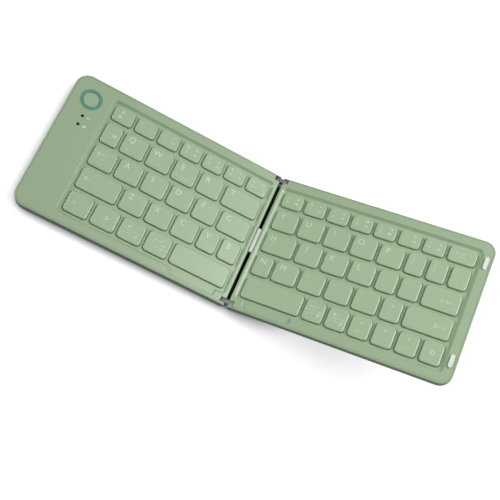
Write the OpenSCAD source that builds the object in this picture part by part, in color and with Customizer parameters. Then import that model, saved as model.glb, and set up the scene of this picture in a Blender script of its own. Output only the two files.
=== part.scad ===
// Folding pocket keyboard, drawn half open as it is used
// Each half is drawn flat: X runs outward from the seam, Y from front to rear, Z up from the underside

/* [Halves] */
// Distance from the middle of the seam to the outer side of each half
half_w = 150.1; // [149:0.1:160]
// Depth of each half, front to rear
half_d = 100; // [99:0.5:120]
// Thickness of each half, underside to rim
half_t = 7.6; // [7.6:0.1:10]
// Radius of the outer corners in plan
corner_r = 8.5; // [7:0.5:9]
// Rounding of the case's lower edge
bottom_round = 2.2; // [1:0.1:2.6]
// Rounding of the case's upper edge
top_round = 0.4; // [0.2:0.1:0.8]
// Gap between the halves when they lie flat
seam_gap = 2.6; // [2.4:0.1:3]
// Rounding of each half's upper edge along the seam
seam_round = 1.6; // [1.2:0.1:2]
// Angle that the right half is raised from flat
rest_fold = 24.2; // [0:0.2:60]

/* [Casing] */
// Thickness of the case's side walls
wall = 1.2; // [1:0.1:1.4]
// Thickness of the case's floor
floor_t = 1.1; // [0.9:0.05:1.1]
// Width of the ledge that the cover rests on
ledge_w = 0.8; // [0.5:0.1:1]
// Thickness of the cover's deck between the keys
deck_t = 1; // [0.8:0.1:1]
// Thickness of the cover over the left band
skin_t = 1.3; // [1.1:0.1:1.4]
// Parting gap between cover and case
cover_gap = 0.1; // [0.05:0.05:0.2]

/* [Key well] */
// Depth of the key well below the rim
well_depth = 1.6; // [1.4:0.1:1.6]
// Width of the well's sloping sides in plan
well_slope = 1.6; // [1:0.1:1.6]
// Radius of the well's corners at its floor
well_r = 2; // [1:0.5:4]
// Width of bare deck around the keys
well_margin = 1.6; // [1.2:0.1:1.6]
// Width of the blank band beside the left well
left_band_w = 26.75; // [26:0.05:30]
// Width of the rim beside the right well
right_rim_w = 6.85; // [6.5:0.05:8]
// Distance of the thumb scoop from the middle of the seam
scoop_x = 11; // [10.5:0.5:20]
// Width of the thumb scoop
scoop_w = 32.5; // [20:0.5:60]
// Distance of the thumb scoop from the front edge
scoop_front = 3.4; // [2.6:0.1:4]
// Width of the scoop's sloping sides in plan
scoop_slope = 1; // [0.6:0.1:1.2]

/* [Keys] */
// Distance of both key fields from the middle of the seam
field_x = 6.65; // [6.5:0.05:7]
// Distance of the outer rows from the front and rear edges
field_front = 9.6; // [9.4:0.1:12]
// Depth of the keys in the rear row
rear_row_d = 11; // [10:0.1:12]
// Gap between neighbours in a row
key_gap = 2.35; // [2.2:0.05:2.8]
// Gap between the rows
row_gap = 2.65; // [2.4:0.05:3]
// Letter keys that would fill a row of the left key field
left_keys = 6.262; // [6.2:0.001:6.4]
// Letter keys that would fill a row of the right key field
right_keys = 7.338; // [7.3:0.001:7.5]
// Share of a letter key that a number key takes
number_share = 0.892; // [0.88:0.001:0.9]
// Share that the tab key takes
tab_share = 0.754; // [0.7:0.001:0.9]
// Share that the left shift key takes
shift_share = 1.608; // [1.5:0.001:1.65]
// Share that the V key takes
narrow_share = 0.835; // [0.8:0.001:0.85]
// Share that the N key takes
n_share = 0.765; // [0.7:0.001:0.8]
// Share that the H key takes
h_share = 1.273; // [1.2:0.001:1.3]
// Share that a bracket key takes
bracket_share = 0.778; // [0.75:0.001:0.8]
// Share that the other small symbol keys take
symbol_share = 0.824; // [0.8:0.001:0.85]
// Share that the small keys beside the right space key take
corner_share = 0.838; // [0.8:0.001:0.85]
// Radius of a key's corners
key_r = 2.2; // [1.5:0.1:3]
// Height of the bevel round a key's top
key_bevel = 0.45; // [0.2:0.05:0.8]
// Inset of the bevel round a key's top
bevel_in = 0.4; // [0.2:0.05:0.6]
// How far the key tops lie below the rim
key_drop = 0; // [0:0.05:0.3]
// How far a key travels
key_travel = 1.5; // [0.8:0.1:1.5]
// Gap between a key and its opening in the deck
hole_gap = 0.3; // [0.25:0.05:0.4]
// Width of the lip that holds a key under the deck
lip_w = 0.65; // [0.5:0.05:0.7]
// Thickness of that lip
lip_t = 0.7; // [0.5:0.1:0.7]
// Gap between the lip and the deck
lip_gap = 0.2; // [0.1:0.05:0.2]
// Thickness of a key's side walls
cap_wall = 0.9; // [0.7:0.1:1.2]
// Thickness of a key's top
cap_top_t = 1.1; // [0.9:0.1:1.2]
// Radius of the stem under a key
stem_r = 1.6; // [1:0.1:2]

/* [Hinge] */
// Distance from the middle of the seam to each pin
pin_x = 3.3; // [3.25:0.05:3.5]
// Depth of the pins below the rim
pin_depth = 2.6; // [2.5:0.05:2.7]
// Radius of the hinge pins
pin_r = 0.7; // [0.5:0.05:0.8]
// Running clearance of a pin in its bore
pin_gap = 0.05; // [0.02:0.01:0.08]
// Radius of the links' round ends
link_r = 1.75; // [1.4:0.05:1.75]
// Thickness of the links, front to rear
link_t = 2.8; // [2:0.1:2.8]
// Clearance of the links in their slots
link_gap = 0.2; // [0.15:0.05:0.3]
// Distance of the front link's middle from the front edge
front_link_y = 3.3; // [3:0.1:3.6]
// Distance of the rear link's middle from the rear edge
rear_link_y = 2.4; // [2.3:0.1:2.6]
// Length of pin that runs in the knuckle behind each link
pin_reach = 1.8; // [1.4:0.1:1.9]
// How far the pins' outer ends lie below the case's face
pin_recess = 0.15; // [0.1:0.05:0.3]
// Width of each knuckle block
knuckle_w = 9.5; // [7:0.1:9.6]
// Solid left in the knuckle beyond a pin's inner end
knuckle_end = 0.5; // [0.4:0.1:0.6]

/* [Ribbon] */
// Width of the ribbon's sleeve, front to rear
ribbon_w = 17.8; // [12:0.1:24]
// Radius of the sleeve's round back
ribbon_r = 1.65; // [1.2:0.05:1.7]
// Height of the sleeve's round back above the pins
ribbon_rise = 0.5; // [0.2:0.1:0.6]
// Thickness of the ribbon
ribbon_t = 0.4; // [0.2:0.1:0.4]
// Length of ribbon that enters each half
ribbon_tail = 1.6; // [1:0.1:1.8]
// Depth of the ribbon's middle below the pins
ribbon_drop = 0.65; // [0.6:0.05:0.8]
// Clearance at each end of the sleeve
ribbon_gap = 0.4; // [0.3:0.1:0.6]

/* [Boards] */
// Thickness of the key boards
board_t = 0.8; // [0.6:0.1:0.8]
// Thickness of the dome sheets
sheet_t = 0.4; // [0.2:0.1:0.4]
// Height of a dome, shown pressed
dome_h = 1.2; // [0.6:0.1:1.2]
// Radius of a dome's foot
dome_r = 2.6; // [2:0.1:3.2]
// Clearance round the boards
board_gap = 0.2; // [0.1:0.1:0.4]
// Distance of the battery from the front edge
battery_y = 9.5; // [9:0.5:12]
// Gap between the battery and the main board
battery_gap = 3.3; // [2:0.1:6]
// Gap beside the battery, to the left well and to the ledge
battery_side = 2.375; // [2:0.005:4]
// Thickness of the battery
battery_t = 3.6; // [2.5:0.1:3.6]
// Length of the main board
main_l = 33; // [30:0.5:33]
// Gap beside the main board, to the left well and to the ledge
main_side = 1.375; // [1:0.005:2]
// Thickness of the main board
main_t = 1; // [0.6:0.1:1]
// Height of the posts under the main board
post_h = 1; // [0.6:0.1:1]

/* [Button and lights] */
// Distance of the button from the left half's outer side
button_x = 13.8; // [12:0.1:15]
// Distance of the button from the rear edge
button_y = 15.4; // [14.5:0.1:17]
// Radius of the button's disc
button_r = 5.1; // [4.5:0.05:5.1]
// Inner radius of the ring round the button
ring_in_r = 5.4; // [5.4:0.05:5.8]
// Outer radius of the ring round the button
ring_out_r = 7.2; // [6.8:0.1:8]
// Depth of the ring in the cover
ring_t = 0.8; // [0.6:0.1:0.9]
// How far the button travels
button_travel = 0.5; // [0.3:0.1:0.5]
// Radius of the status lights
light_r = 1; // [0.6:0.1:1.4]
// Distance of the first light behind the button's middle
light_y = 12.8; // [10:0.1:14]
// Distance between the two lights
light_pitch = 6.4; // [4:0.1:7]
// Distance of the charging socket from the left half's outer side
socket_x = 20.5; // [20:0.1:20.8]
// Width of the charging socket
socket_w = 8.9; // [8:0.1:8.9]
// Height of the charging socket
socket_h = 3.2; // [2.8:0.1:3.2]
// Length of the charging socket
socket_l = 7.3; // [5:0.1:7.3]

/* [Feet and pads] */
// Length of a foot
foot_l = 9; // [6:0.5:12]
// Width of a foot
foot_w = 3.5; // [2.6:0.1:4]
// Height of the underside above the desk
foot_h = 1; // [0.8:0.1:1.6]
// Depth of the feet's recesses
foot_recess = 0.4; // [0.2:0.1:0.4]
// Distance of the feet from the ends of each half
foot_x = 12.2; // [12:0.1:13]
// Distance of the front feet from the front edge
front_foot_y = 11.7; // [8:0.1:14]
// Distance of the rear feet from the rear edge
rear_foot_y = 7; // [6.8:0.1:7]
// Width of the raised bar under the rear feet
bar_w = 7; // [6:0.1:8]
// Height of that bar
bar_h = 0.5; // [0.3:0.1:0.6]
// Distance of the bar's ends from the ends of each half
bar_x = 5; // [3:0.5:6]
// Width of the pads on the right half's rim
pad_w = 2.8; // [2:0.1:3]
// Length of those pads
pad_l = 9; // [6:0.5:12]
// Distance of the pads from the outer side
pad_x = 4.1; // [3.9:0.1:4.3]
// Distance of the front pad from the front edge
front_pad_y = 16; // [12:0.5:30]
// Distance of the rear pad from the rear edge
rear_pad_y = 15.4; // [12:0.2:30]
// How far the pads stand above the rim
pad_h = 1.3; // [0.4:0.1:1.3]
// Depth of the pads' recesses
pad_recess = 0.5; // [0.3:0.1:0.6]
// Radius of the cover screws
screw_r = 0.6; // [0.5:0.05:0.7]
// Radius of the screws' heads
head_r = 1.2; // [1:0.05:1.4]
// Thickness of the screws' heads
head_t = 0.5; // [0.3:0.05:0.55]
// Radius of the cover's screw pillars
pillar_r = 1.6; // [1.3:0.1:1.6]

/* [Hidden] */
$fn = 64;

case_green = [0.58, 0.68, 0.55];
key_green = [0.64, 0.74, 0.61];
teal = [0.12, 0.45, 0.42];
gunmetal = [0.25, 0.24, 0.27];
silver = [0.82, 0.83, 0.85];
pad_white = [0.9, 0.9, 0.92];
board_green = [0.1, 0.35, 0.2];
dome_dark = [0.05, 0.06, 0.05];
smoke = [0.06, 0.08, 0.07];
through = 1;
fit = 0.05;

// Keys of each row as read from left to right, rear row first, each with its share;
// a share of 0 takes what is left of the row
left_rows = [
    [for (i = [1 : 6]) ["number", number_share], ["number", 0]],
    [["modifier", tab_share], for (k = ["q", "w", "e", "r"]) [k, 1], ["t", 0]],
    [for (k = ["modifier", "a", "s", "d", "f"]) [k, 1], ["g", 0]],
    [["shift", shift_share], for (k = ["z", "x", "c"]) [k, 1], ["v", narrow_share], ["b", 0]],
    [for (i = [1 : 4]) ["modifier", 1], ["space", 0]]];
right_rows = [
    [for (i = [1 : 7]) ["number", number_share], ["backspace", 0]],
    [for (k = ["y", "u", "i", "o", "p"]) [k, 1],
        for (i = [1 : 2]) ["symbol", bracket_share], ["symbol", 0]],
    [["h", h_share], for (k = ["j", "k", "l"]) [k, 1],
        for (i = [1 : 2]) ["symbol", symbol_share], ["return", 0]],
    [["n", n_share], ["m", 1], for (i = [1 : 3]) ["symbol", 1],
        ["arrow", symbol_share], ["shift", 0]],
    [["space", 0], for (k = ["corner", "corner", "arrow", "arrow", "arrow", "corner"]) [k, corner_share]]];

seam_x = seam_gap / 2;
deck_z = half_t - well_depth;
seat_z = deck_z - deck_t;
skin_z = half_t - skin_t;
pin_z = half_t - pin_depth;
knuckle_z = deck_z + 0.3;
cap_z = half_t - key_drop;
lip_z = seat_z - lip_gap - lip_t;
board_z = floor_t;
sheet_z = board_z + board_t;
dome_z = sheet_z + sheet_t;
stem_z = dome_z + dome_h + key_travel + hole_gap;
main_z = floor_t + post_h;
main_top = main_z + main_t;
socket_z = seat_z - 2 * fit - socket_h / 2;
well_end = well_margin + well_slope;
left_band_x = half_w - left_band_w;
left_field_w = left_band_x - well_end - field_x;
right_field_w = half_w - right_rim_w - well_end - field_x;
row_pitch = (half_d - 2 * field_front - rear_row_d) / (len(left_rows) - 1);
key_d = row_pitch - row_gap;
front_slot_y = front_link_y;
rear_slot_y = half_d - rear_link_y;
knuckle_y = link_t / 2 + link_gap + pin_reach + knuckle_end;
foot_spots = [foot_x, half_w - foot_x];
pillar_y = half_d - rear_foot_y;
head_z = foot_recess - bar_h;
button_pos = [half_w - button_x, half_d - button_y];
band_room = left_band_w - wall - ledge_w;
main_w = band_room - 2 * main_side;
main_x = left_band_x + main_side;
main_y = half_d - wall - ledge_w - board_gap - main_l;
battery_l = main_y - battery_gap - battery_y;
post_r = 1.5;
switch_w = 5;
button_low = half_t - ring_t - lip_gap - lip_t;
button_stem = 0.7;
switch_top = button_low - button_stem - button_travel - lip_gap;
shell_t = 0.3;
tongue_t = 0.7;
press_gap = 0.01;

// Where the halves stand at rest
half_fold = rest_fold / 2;
desk_pin_z = foot_h + pin_z;
reach = half_w - bottom_round - pin_x;
right_end = -pin_x + 2 * pin_x * cos(half_fold) + reach * cos(rest_fold)
    - (bottom_round - pin_z) * sin(rest_fold) + bottom_round;
centre_x = (right_end - half_w) / 2;

module on_left() translate([-centre_x, -half_d / 2, foot_h]) mirror([1, 0, 0]) children();

module on_links() translate([-centre_x - pin_x, -half_d / 2, desk_pin_z]) rotate([0, -half_fold, 0])
    translate([pin_x, 0, 0]) children();

module on_right() on_links() translate([pin_x, 0, 0]) rotate([0, -half_fold, 0])
    translate([-pin_x, 0, -pin_z]) children();

// Outline with round corners, from one corner to the opposite one
module rounded(low, high, r) {
    translate([low.x + r, low.y]) square([high.x - low.x - 2 * r, high.y - low.y]);
    translate([low.x, low.y + r]) square([high.x - low.x, high.y - low.y - 2 * r]);
    for (x = [low.x + r, high.x - r], y = [low.y + r, high.y - r]) translate([x, y]) circle(r);
}

// Block with round corners whose sides lean outward by spread over its height
module leaning_block(low, high, r, h, spread) {
    near = [low.x + r, low.y + r];
    far = [high.x - r, high.y - r];
    translate([0, far.y, 0]) rotate([90, 0, 0]) linear_extrude(far.y - near.y)
        polygon([[low.x, 0], [high.x, 0], [high.x + spread, h], [low.x - spread, h]]);
    translate([near.x, 0, 0]) rotate([90, 0, 90]) linear_extrude(far.x - near.x)
        polygon([[low.y, 0], [high.y, 0], [high.y + spread, h], [low.y - spread, h]]);
    for (corner = [[far.x, far.y, 0], [near.x, far.y, 90], [near.x, near.y, 180], [far.x, near.y, 270]])
        translate([corner.x, corner.y, 0]) rotate([0, 0, corner.z]) rotate_extrude(angle = 90)
            polygon([[0, 0], [r, 0], [r + spread, h], [0, h]]);
}

// Slot with round ends, along X
module pill(length, width) {
    square([length - width, width], center = true);
    for (s = [-1, 1]) translate([s * (length - width) / 2, 0]) circle(width / 2);
}

// Plan of a half with round outer corners, inset from its sides and starting at start_x
module half_plan(inset, start_x) {
    r = corner_r - inset;
    translate([start_x, inset]) square([half_w - corner_r - start_x, half_d - 2 * inset]);
    translate([start_x, corner_r]) square([half_w - inset - start_x, half_d - 2 * corner_r]);
    for (y = [corner_r, half_d - corner_r]) translate([half_w - corner_r, y]) circle(r);
}

// Section of the case's outer edge
module edge_section() {
    square([corner_r - bottom_round, half_t]);
    translate([0, bottom_round]) square([corner_r - top_round, half_t - bottom_round]);
    translate([0, bottom_round]) square([corner_r, half_t - bottom_round - top_round]);
    translate([corner_r - bottom_round, bottom_round]) circle(bottom_round);
    translate([corner_r - top_round, half_t - top_round]) circle(top_round);
}

// Solid of a half with its rounded edges
module case_block() {
    straight_x = half_w - corner_r - seam_x;
    straight_y = half_d - 2 * corner_r;
    translate([seam_x, corner_r, 0]) cube([straight_x, straight_y, half_t]);
    translate([half_w - corner_r, half_d - corner_r, 0]) rotate([90, 0, 0])
        linear_extrude(straight_y) edge_section();
    translate([half_w - corner_r, corner_r, 0]) rotate([90, 0, -90])
        linear_extrude(straight_x) edge_section();
    translate([seam_x, half_d - corner_r, 0]) rotate([90, 0, 90])
        linear_extrude(straight_x) edge_section();
    for (end = [[corner_r, -90], [half_d - corner_r, 0]])
        translate([half_w - corner_r, end[0], 0]) rotate([0, 0, end[1]])
            rotate_extrude(angle = 90) edge_section();
}

// Cut that rounds the upper edge along the seam
module seam_cut() difference() {
    translate([seam_x - through, -through, half_t - seam_round])
        cube([seam_round + through, half_d + 2 * through, seam_round + through]);
    translate([seam_x + seam_round, -2 * through, half_t - seam_round]) rotate([-90, 0, 0])
        cylinder(r = seam_round, h = half_d + 4 * through);
}

// Room that a link needs to swing from flat to closed
module link_slots() for (y = [front_slot_y, rear_slot_y])
    translate([0, y + link_t / 2 + link_gap, pin_z]) rotate([90, 0, 0])
        linear_extrude(link_t + 2 * link_gap) {
            r = link_r + link_gap;
            translate([pin_x, 0]) circle(r);
            translate([-through, -r]) square([pin_x + through, pin_depth + r + through]);
            translate([-through, 0]) square([pin_x + r + through, pin_depth + through]);
        }

// A pin's stretch at each link: the outer end stops below the face, the inner end in the knuckle
module pin_rods(r, outer_end, inner_end) {
    front_end = front_link_y + link_t / 2 + link_gap + inner_end;
    rear_start = rear_slot_y - link_t / 2 - link_gap - inner_end;
    translate([0, outer_end, 0]) rotate([-90, 0, 0]) cylinder(r = r, h = front_end - outer_end);
    translate([0, rear_start, 0]) rotate([-90, 0, 0])
        cylinder(r = r, h = half_d - outer_end - rear_start);
}

module knuckles(grow = 0) for (y = [front_slot_y, rear_slot_y]) {
    low_y = y == front_slot_y ? 0 : y - knuckle_y - grow;
    high_y = y == front_slot_y ? y + knuckle_y + grow : half_d;
    translate([seam_x, low_y]) square([knuckle_w + grow - seam_x, high_y - low_y]);
}

// Opening in the seam for the ribbon, and the notch above it for the sleeve's round back
module ribbon_cut() translate([-through, (half_d - ribbon_w) / 2 - ribbon_gap, pin_z - ribbon_r]) {
    length = ribbon_w + 2 * ribbon_gap;
    cube([through + seam_x + 2 * wall, length, seat_z - pin_z + ribbon_r]);
    cube([through + ribbon_r + ribbon_gap + fit, length, half_t]);
}

module at_pillars() for (x = foot_spots) translate([x, pillar_y, 0]) children();

// The rear feet sit on the raised bar, over the screws
module at_feet() for (x = foot_spots, rear = [false, true]) {
    $foot_top = foot_recess - (rear ? bar_h : 0);
    translate([x, rear ? pillar_y : front_foot_y, 0]) children();
}

module at_socket() translate([half_w - socket_x, half_d + through, socket_z]) rotate([90, 0, 0])
    children();

function total(v, i = 0) = i < len(v) ? v[i] + total(v, i + 1) : 0;
function to_hundredth(size) = round(100 * size) / 100;
function share_of(row, i, keys) = row[i][1] > 0 ? row[i][1] : keys - total([for (k = row) k[1]]);
function share_before(row, i, keys) =
    i == 0 ? 0 : share_before(row, i - 1, keys) + share_of(row, i - 1, keys);

// Places children at the middle of each key with this label, or of all keys
module at_keys(left, label = "any") {
    rows = left ? left_rows : right_rows;
    w = left ? left_field_w : right_field_w;
    keys = left ? left_keys : right_keys;
    letter = (w + key_gap) / keys;
    last = len(rows) - 1;
    for (r = [0 : last], i = [0 : len(rows[r]) - 1])
        if (label == "any" || label == rows[r][i][0]) {
            $key_size = [to_hundredth(letter * share_of(rows[r], i, keys) - key_gap),
                r == 0 ? rear_row_d : key_d];
            along = letter * share_before(rows[r], i, keys) + $key_size.x / 2;
            translate([field_x + (left ? w - along : along),
                field_front + (last - r) * row_pitch + $key_size.y / 2, 0]) children();
        }
}

module cap_plan(grow = 0) {
    corner = $key_size / 2 + [grow, grow];
    rounded(-corner, corner, key_r + grow);
}

module keycap() {
    corner = $key_size / 2;
    ceiling = cap_z - cap_top_t;
    difference() {
        union() {
            translate([0, 0, lip_z]) linear_extrude(cap_z - key_bevel - lip_z) cap_plan();
            translate([0, 0, lip_z]) linear_extrude(lip_t) cap_plan(lip_w);
            translate([0, 0, cap_z - key_bevel])
                leaning_block(-corner, corner, key_r, key_bevel, -bevel_in);
        }
        translate([0, 0, lip_z - through]) linear_extrude(ceiling - lip_z + through)
            cap_plan(-cap_wall);
    }
    translate([0, 0, stem_z]) cylinder(r = stem_r, h = ceiling - stem_z);
}

module keys(left, label) color(key_green) at_keys(left, label) keycap();

module left_key(label) on_left() keys(true, label);

module right_key(label) on_right() keys(false, label);

// Tray with its ledge, knuckles, rear bar and recesses
module bottom_case(left) difference() {
    union() {
        difference() {
            case_block();
            translate([0, 0, floor_t]) linear_extrude(half_t)
                half_plan(wall + ledge_w, seam_x + wall);
            translate([0, 0, seat_z]) linear_extrude(half_t) half_plan(wall, seam_x - through);
        }
        translate([0, 0, floor_t]) linear_extrude(knuckle_z - fit - floor_t) intersection() {
            knuckles();
            half_plan(wall / 2, seam_x);
        }
        translate([(seam_x + half_w) / 2, pillar_y, -bar_h]) linear_extrude(bar_h)
            pill(half_w - seam_x - 2 * bar_x, bar_w);
        if (left) for (x = [main_x + post_r, main_x + main_w - post_r], y = [main_y + post_r, button_pos.y])
            translate([x, y, floor_t]) cylinder(r = post_r, h = post_h);
    }
    seam_cut();
    link_slots();
    ribbon_cut();
    translate([pin_x, 0, pin_z]) pin_rods(pin_r + pin_gap, -through, pin_reach + fit);
    at_feet() translate([0, 0, $foot_top - foot_recess - through])
        linear_extrude(foot_recess + through) pill(foot_l + 2 * fit, foot_w + 2 * fit);
    at_pillars() translate([0, 0, -bar_h]) cylinder(r = head_r + fit, h = head_t + foot_recess);
    at_pillars() translate([0, 0, -bar_h]) cylinder(r = screw_r + fit, h = floor_t + bar_h + through);
    if (left) at_socket() linear_extrude(2 * (wall + ledge_w)) pill(socket_w + 2 * fit, socket_h + 2 * fit);
}

// Plate that carries the rim, the key well and the screw pillars
module top_cover(left) {
    field_w = left ? left_field_w : right_field_w;
    well_low = [field_x - well_margin, field_front - well_margin];
    well_high = [field_x + field_w + well_margin, half_d - field_front + well_margin];
    over = well_slope / well_depth * through;
    scoop_low = [scoop_x, scoop_front];
    scoop_high = [scoop_x + scoop_w, well_low.y + well_r];
    difference() {
        translate([0, 0, seat_z]) linear_extrude(half_t - seat_z) half_plan(wall + cover_gap, seam_x);
        translate([0, 0, deck_z]) leaning_block(well_low, well_high, well_r,
            well_depth + through, well_slope + over);
        translate([0, 0, deck_z]) leaning_block(scoop_low, scoop_high, scoop_slope,
            well_depth + through, scoop_slope * (1 + through / well_depth));
        at_keys(left) translate([0, 0, seat_z - through]) linear_extrude(half_t) cap_plan(hole_gap);
        seam_cut();
        link_slots();
        ribbon_cut();
        translate([0, 0, floor_t]) linear_extrude(knuckle_z - floor_t) knuckles(fit);
        if (left) band_cuts();
        if (!left) pad_recesses();
    }
    at_pillars() difference() {
        translate([0, 0, floor_t]) cylinder(r = pillar_r, h = seat_z + deck_t / 2 - floor_t);
        cylinder(r = screw_r + fit, h = seat_z);
    }
}

module pad_recesses() for (y = [front_pad_y, half_d - rear_pad_y])
    translate([half_w - pad_x, y, half_t - pad_recess]) linear_extrude(pad_recess + through)
        rotate(90) pill(pad_l + 2 * fit, pad_w + 2 * fit);

// Hollow under the left band, with the button's, lights' and socket's openings
module band_cuts() {
    rib = skin_t;
    low = [left_band_x + rib, wall + ledge_w + rib];
    high = [half_w - wall - cover_gap - rib, pillar_y - pillar_r - rib];
    translate([0, 0, seat_z - through]) linear_extrude(skin_z - seat_z + through)
        rounded(low, high, well_r);
    translate([button_pos.x, button_pos.y, half_t - ring_t])
        cylinder(r = ring_out_r + fit, h = ring_t + through);
    translate([button_pos.x, button_pos.y, seat_z])
        cylinder(r = ring_out_r - ledge_w, h = half_t);
    for (i = [0, 1]) translate([button_pos.x, button_pos.y - light_y - i * light_pitch, seat_z])
        cylinder(r = light_r + fit, h = half_t);
}

module inner_plan(start_x, end_x, start_y) difference() {
    intersection() {
        half_plan(wall + ledge_w + board_gap, start_x);
        translate([start_x, start_y]) square([end_x - start_x, half_d - start_y]);
    }
    knuckles(board_gap);
    at_pillars() circle(pillar_r + board_gap);
}

module board_outline(left) inner_plan(seam_x + wall + board_gap,
    left ? left_band_x - board_gap : half_w, 0);

module key_board(left) translate([0, 0, board_z]) linear_extrude(board_t) board_outline(left);

module dome_sheet(left) difference() {
    union() {
        translate([0, 0, sheet_z]) linear_extrude(sheet_t) board_outline(left);
        at_keys(left) translate([0, 0, dome_z]) cylinder(r1 = dome_r, r2 = stem_r, h = dome_h);
    }
    at_keys(left) translate([0, 0, sheet_z - fit])
        cylinder(r1 = dome_r - sheet_t, r2 = stem_r - sheet_t, h = dome_h + fit);
}

module feet() color(pad_white) at_feet() translate([0, 0, -foot_h])
    linear_extrude(foot_h + $foot_top) pill(foot_l, foot_w);

module screws() color(silver) at_pillars() translate([0, 0, head_z]) {
    cylinder(r = head_r, h = head_t);
    cylinder(r = screw_r, h = seat_z - 2 * fit - head_z);
}

module left_bottom_case() color(case_green) on_left() bottom_case(true);

module right_bottom_case() color(case_green) on_right() bottom_case(false);

module left_top_cover() color(case_green) on_left() top_cover(true);

module right_top_cover() color(case_green) on_right() top_cover(false);

module left_key_board() color(board_green) on_left() key_board(true);

module right_key_board() color(board_green) on_right() key_board(false);

module left_dome_sheet() color(dome_dark) on_left() dome_sheet(true);

module right_dome_sheet() color(dome_dark) on_right() dome_sheet(false);

// Circuit board on its posts, with the switch that the button presses
module main_board() color(board_green) on_left() {
    translate([0, 0, main_z]) linear_extrude(main_t) difference() {
        inner_plan(main_x, main_x + main_w, main_y);
        translate([main_x - through, half_d - socket_l - fit])
            square([half_w - socket_x + socket_w / 2 + fit - main_x + through, socket_l]);
    }
    translate([button_pos.x - switch_w / 2, button_pos.y - switch_w / 2, main_top])
        cube([switch_w, switch_w, switch_top - main_top]);
}

module battery() color(silver) on_left()
    translate([left_band_x + battery_side, battery_y, floor_t])
        cube([band_room - 2 * battery_side, battery_l, battery_t]);

// Shell open to the rear, with the contact tongue inside
module charging_socket() color(silver) on_left() at_socket() {
    translate([0, 0, through]) linear_extrude(socket_l - fit) difference() {
        pill(socket_w, socket_h);
        pill(socket_w - 2 * shell_t, socket_h - 2 * shell_t);
    }
    translate([0, 0, through + socket_l - fit - shell_t]) linear_extrude(shell_t)
        pill(socket_w, socket_h);
    translate([0, 0, 2 * through]) linear_extrude(socket_l - fit - through)
        square([socket_w - 4 * shell_t - tongue_t, tongue_t], center = true);
}

// Disc held under the ring by its lip, with the stem that presses the switch
module power_button() color(key_green) on_left() translate([button_pos.x, button_pos.y, button_low]) {
    cylinder(r = button_r, h = half_t - button_low);
    cylinder(r = ring_in_r + lip_w, h = lip_t);
    translate([0, 0, -button_stem]) cylinder(r = stem_r, h = button_stem);
}

module button_ring() color(teal) on_left() translate([button_pos.x, button_pos.y, half_t - ring_t])
    linear_extrude(ring_t) difference() {
        circle(ring_out_r);
        circle(ring_in_r);
    }

// Light pipes pressed up into the cover
module status_lights() color(smoke) on_left() for (i = [0, 1])
    translate([button_pos.x, button_pos.y - light_y - i * light_pitch, skin_z - lip_t]) {
        cylinder(r = light_r, h = skin_t + lip_t - fit);
        cylinder(r = light_r + ledge_w, h = lip_t);
    }

module left_feet() on_left() feet();

module right_feet() on_right() feet();

module left_screws() on_left() screws();

module right_screws() on_right() screws();

module rim_pads() color(pad_white) on_right() for (y = [front_pad_y, half_d - rear_pad_y])
    translate([half_w - pad_x, y, half_t - pad_recess]) linear_extrude(pad_recess + pad_h)
        rotate(90) pill(pad_l, pad_w);

module hinge_links() color(gunmetal) on_links() for (y = [front_slot_y, rear_slot_y])
    translate([0, y + link_t / 2, 0]) rotate([90, 0, 0]) linear_extrude(link_t) difference() {
        pill(2 * (pin_x + link_r), 2 * link_r);
        for (side = [-1, 1]) translate([side * pin_x, 0]) circle(pin_r + press_gap);
    }

module hinge_pins() color(gunmetal) on_links() for (side = [-1, 1]) translate([side * pin_x, 0, 0])
    pin_rods(pin_r, pin_recess, pin_reach);

module ribbon_sleeve() color(silver) on_links() translate([0, (half_d - ribbon_w) / 2, 0]) {
    half_ribbon = pin_x + ribbon_tail;
    translate([0, 0, ribbon_rise]) rotate([-90, 0, 0]) cylinder(r = ribbon_r, h = ribbon_w);
    translate([-half_ribbon, ribbon_gap, -ribbon_drop - ribbon_t / 2])
        cube([2 * half_ribbon, ribbon_w - 2 * ribbon_gap, ribbon_t]);
}

left_bottom_case();
left_top_cover();
left_key_board();
left_dome_sheet();
main_board();
battery();
charging_socket();
power_button();
button_ring();
status_lights();
left_feet();
left_screws();
hinge_links();
hinge_pins();
ribbon_sleeve();
right_bottom_case();
right_top_cover();
right_key_board();
right_dome_sheet();
right_feet();
rim_pads();
right_screws();
left_key("q");  // key_q
left_key("w");  // key_w
left_key("e");  // key_e
left_key("r");  // key_r
left_key("t");  // key_t
left_key("a");  // key_a
left_key("s");  // key_s
left_key("d");  // key_d
left_key("f");  // key_f
left_key("g");  // key_g
left_key("z");  // key_z
left_key("x");  // key_x
left_key("c");  // key_c
left_key("v");  // key_v
left_key("b");  // key_b
right_key("y");  // key_y
right_key("u");  // key_u
right_key("i");  // key_i
right_key("o");  // key_o
right_key("p");  // key_p
right_key("h");  // key_h
right_key("j");  // key_j
right_key("k");  // key_k
right_key("l");  // key_l
right_key("n");  // key_n
right_key("m");  // key_m
left_key("space");  // left_space_key
right_key("space");  // right_space_key
left_key("shift");  // left_shift_key
right_key("shift");  // right_shift_key
right_key("return");  // return_key
right_key("backspace");  // backspace_key
left_key("number");  // left_number_keys
right_key("number");  // right_number_keys
left_key("modifier");  // left_modifier_keys
right_key("arrow");  // arrow_keys
right_key("symbol");  // right_symbol_keys
right_key("corner");  // right_corner_keys
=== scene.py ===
# %% [markdown]
# # Dressing a folding keyboard
# The keyboard lies half open: the left half is flat on the desk, and the right half is held up by the
# friction of two small hinges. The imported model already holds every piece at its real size. This lesson
# gives the pieces their finish: soft moulded edges, keycaps with printed marks, metal hinge links and a
# plain studio. All sizes are in metres, because that is Blender's own unit.

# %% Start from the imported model
import math

import bmesh
import bpy
from mathutils import Matrix, Vector


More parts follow.
